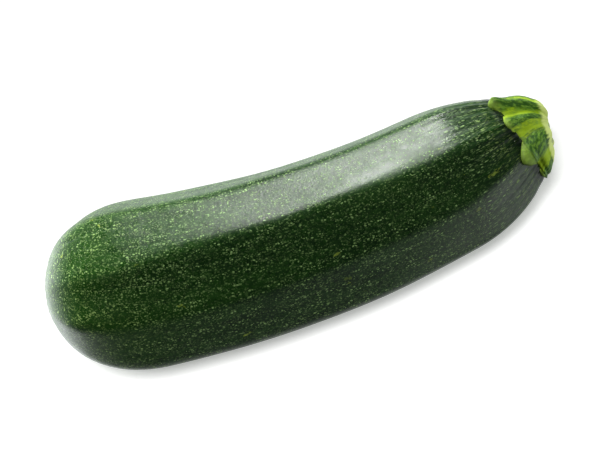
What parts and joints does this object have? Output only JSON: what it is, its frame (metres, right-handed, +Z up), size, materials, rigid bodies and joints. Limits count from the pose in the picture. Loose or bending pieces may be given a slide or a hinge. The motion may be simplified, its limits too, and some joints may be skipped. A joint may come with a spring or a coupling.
{
  "type": "courgette",
  "caption": "Whole fresh courgette lying on its side: a gently bent, softly ridged dark green fruit with a short ribbed stem stub.",
  "frame": {"origin": "on the surface that the courgette lies on, under the middle of its bounding box", "axes": "+Z up; +X along its length towards the stem; +Y towards the inside of its bend"},
  "size_m": [0.1764, 0.0594, 0.0556],
  "materials": {
    "skin": "satin waxy skin, dark green with fine pale yellow-green flecks in lengthwise rows",
    "stem": "dull fibrous rind, mid-green on the ribs and yellow-green between them, with a pale moist cut face"
  },
  "bodies": {
    "root": {"fruit": "skin", "stem": "stem"}
  },
  "joints": []
}
